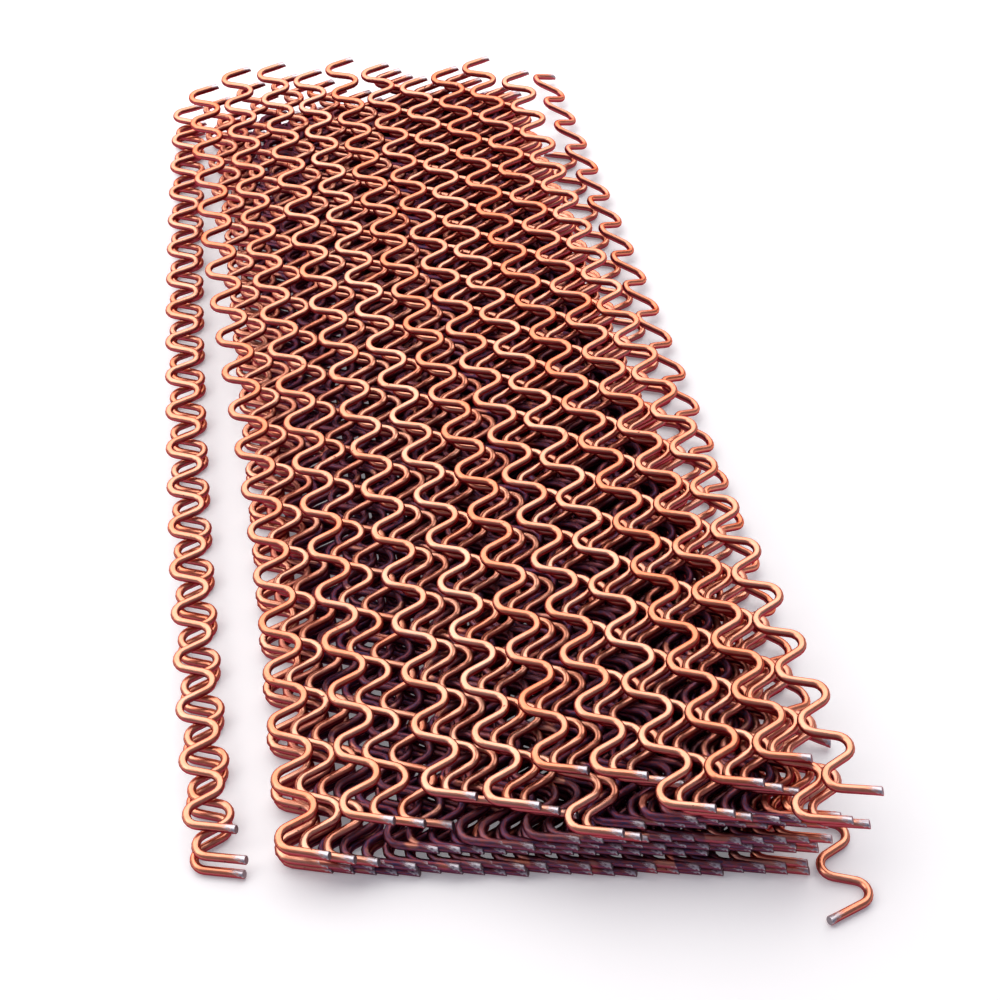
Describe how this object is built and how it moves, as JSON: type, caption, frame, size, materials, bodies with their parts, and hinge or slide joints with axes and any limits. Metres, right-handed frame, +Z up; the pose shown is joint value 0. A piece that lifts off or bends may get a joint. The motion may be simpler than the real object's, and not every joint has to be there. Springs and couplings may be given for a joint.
{
  "type": "stack of loose wave wires for dent pulling",
  "caption": "A low heap of loose, identical wavy copper-coated steel wires lying side by side in layers, with a few strays beside it.",
  "frame": {"origin": "middle of the heap's outline, on the surface it lies on", "axes": "+Y along the wires away from their front cut ends, +X across the heap to the right seen from the front, +Z up"},
  "size_m": [0.148, 0.3378, 0.0241],
  "materials": {
    "copper_coat": "drawn wire with a bright thin copper coating, grey bare steel at the cut ends"
  },
  "bodies": {
    "layer_0": {"layer_0_left_wire": "copper_coat", "layer_0_inner_wire": "copper_coat", "layer_0_second_inner_wire": "copper_coat", "layer_0_right_wire": "copper_coat"},
    "layer_1": {"layer_1_left_wire": "copper_coat", "layer_1_inner_wire": "copper_coat", "layer_1_second_inner_wire": "copper_coat", "layer_1_right_wire": "copper_coat"},
    "layer_2": {"layer_2_left_wire": "copper_coat", "layer_2_inner_wire": "copper_coat", "layer_2_second_inner_wire": "copper_coat", "layer_2_right_wire": "copper_coat"},
    "layer_3": {"layer_3_left_wire": "copper_coat", "layer_3_inner_wire": "copper_coat", "layer_3_second_inner_wire": "copper_coat", "layer_3_right_wire": "copper_coat"},
    "layer_4": {"layer_4_left_wire": "copper_coat", "layer_4_inner_wire": "copper_coat", "layer_4_second_inner_wire": "copper_coat", "layer_4_right_wire": "copper_coat"},
    "layer_5": {"layer_5_left_wire": "copper_coat", "layer_5_inner_wire": "copper_coat", "layer_5_right_wire": "copper_coat"},
    "layer_6": {"layer_6_left_wire": "copper_coat", "layer_6_inner_wire": "copper_coat", "layer_6_second_inner_wire": "copper_coat", "layer_6_right_wire": "copper_coat"},
    "layer_7": {"layer_7_wire_1": "copper_coat", "layer_7_wire_2": "copper_coat", "layer_7_wire_3": "copper_coat", "layer_7_wire_4": "copper_coat", "layer_7_wire_5": "copper_coat", "layer_7_wire_6": "copper_coat", "layer_7_wire_7": "copper_coat", "layer_7_wire_8": "copper_coat", "layer_7_wire_9": "copper_coat"},
    "layer_8": {"layer_8_wire_1": "copper_coat", "layer_8_wire_2": "copper_coat", "layer_8_wire_3": "copper_coat", "layer_8_wire_4": "copper_coat", "layer_8_wire_5": "copper_coat", "layer_8_wire_6": "copper_coat", "layer_8_wire_7": "copper_coat", "layer_8_wire_8": "copper_coat", "layer_8_wire_9": "copper_coat"},
    "top_wire_1": {"top_wire_1": "copper_coat"},
    "top_wire_2": {"top_wire_2": "copper_coat"},
    "top_wire_3": {"top_wire_3": "copper_coat"},
    "top_wire_4": {"top_wire_4": "copper_coat"},
    "top_wire_5": {"top_wire_5": "copper_coat"},
    "top_wire_6": {"top_wire_6": "copper_coat"},
    "top_wire_7": {"top_wire_7": "copper_coat"},
    "top_wire_8": {"top_wire_8": "copper_coat"},
    "top_wire_9": {"top_wire_9": "copper_coat"},
    "top_wire_10": {"top_wire_10": "copper_coat"},
    "side_wire_low": {"side_wire_low": "copper_coat"},
    "side_wire_mid": {"side_wire_mid": "copper_coat"},
    "side_wire_top": {"side_wire_top": "copper_coat"},
    "stray_wire_back": {"stray_wire_back": "copper_coat"},
    "stray_wire_front": {"stray_wire_front": "copper_coat"}
  },
  "joints": [
    {"name": "lift_layer_1", "type": "slide", "parent": "layer_0", "child": "layer_1", "axis": [0, 0, 1], "range_m": [0, 0.04]},
    {"name": "lift_layer_2", "type": "slide", "parent": "layer_1", "child": "layer_2", "axis": [0, 0, 1], "range_m": [0, 0.04]},
    {"name": "lift_layer_3", "type": "slide", "parent": "layer_2", "child": "layer_3", "axis": [0, 0, 1], "range_m": [0, 0.04]},
    {"name": "lift_layer_4", "type": "slide", "parent": "layer_3", "child": "layer_4", "axis": [0, 0, 1], "range_m": [0, 0.04]},
    {"name": "lift_layer_5", "type": "slide", "parent": "layer_4", "child": "layer_5", "axis": [0, 0, 1], "range_m": [0, 0.04]},
    {"name": "lift_layer_6", "type": "slide", "parent": "layer_5", "child": "layer_6", "axis": [0, 0, 1], "range_m": [0, 0.04]},
    {"name": "lift_layer_7", "type": "slide", "parent": "layer_6", "child": "layer_7", "axis": [0, 0, 1], "range_m": [0, 0.04]},
    {"name": "lift_layer_8", "type": "slide", "parent": "layer_7", "child": "layer_8", "axis": [0, 0, 1], "range_m": [0, 0.04]},
    {"name": "lift_top_wire_1", "type": "slide", "parent": "layer_8", "child": "top_wire_1", "axis": [0, 0, 1], "range_m": [0, 0.04]},
    {"name": "lift_top_wire_2", "type": "slide", "parent": "layer_8", "child": "top_wire_2", "axis": [0, 0, 1], "range_m": [0, 0.04]},
    {"name": "lift_top_wire_3", "type": "slide", "parent": "layer_8", "child": "top_wire_3", "axis": [0, 0, 1], "range_m": [0, 0.04]},
    {"name": "lift_top_wire_4", "type": "slide", "parent": "layer_8", "child": "top_wire_4", "axis": [0, 0, 1], "range_m": [0, 0.04]},
    {"name": "lift_top_wire_5", "type": "slide", "parent": "layer_8", "child": "top_wire_5", "axis": [0, 0, 1], "range_m": [0, 0.04]},
    {"name": "lift_top_wire_6", "type": "slide", "parent": "layer_8", "child": "top_wire_6", "axis": [0, 0, 1], "range_m": [0, 0.04]},
    {"name": "lift_top_wire_7", "type": "slide", "parent": "layer_8", "child": "top_wire_7", "axis": [0, 0, 1], "range_m": [0, 0.04]},
    {"name": "lift_top_wire_8", "type": "slide", "parent": "layer_8", "child": "top_wire_8", "axis": [0, 0, 1], "range_m": [0, 0.04]},
    {"name": "lift_top_wire_9", "type": "slide", "parent": "layer_8", "child": "top_wire_9", "axis": [0, 0, 1], "range_m": [0, 0.04]},
    {"name": "lift_top_wire_10", "type": "slide", "parent": "layer_8", "child": "top_wire_10", "axis": [0, 0, 1], "range_m": [0, 0.04]},
    {"name": "draw_side_wire_low", "type": "slide", "parent": "layer_0", "child": "side_wire_low", "axis": [-1, 0, 0], "range_m": [0, 0.03]},
    {"name": "draw_side_wire_mid", "type": "slide", "parent": "side_wire_low", "child": "side_wire_mid", "axis": [-1, 0, 0], "range_m": [0, 0.03]},
    {"name": "draw_side_wire_top", "type": "slide", "parent": "side_wire_mid", "child": "side_wire_top", "axis": [-1, 0, 0], "range_m": [0, 0.03]},
    {"name": "draw_stray_wire_front", "type": "slide", "parent": "layer_0", "child": "stray_wire_front", "axis": [1, 0, 0], "range_m": [0, 0.03]},
    {"name": "draw_stray_wire_back", "type": "slide", "parent": "stray_wire_front", "child": "stray_wire_back", "axis": [1, 0, 0], "range_m": [0, 0.03]}
  ]
}
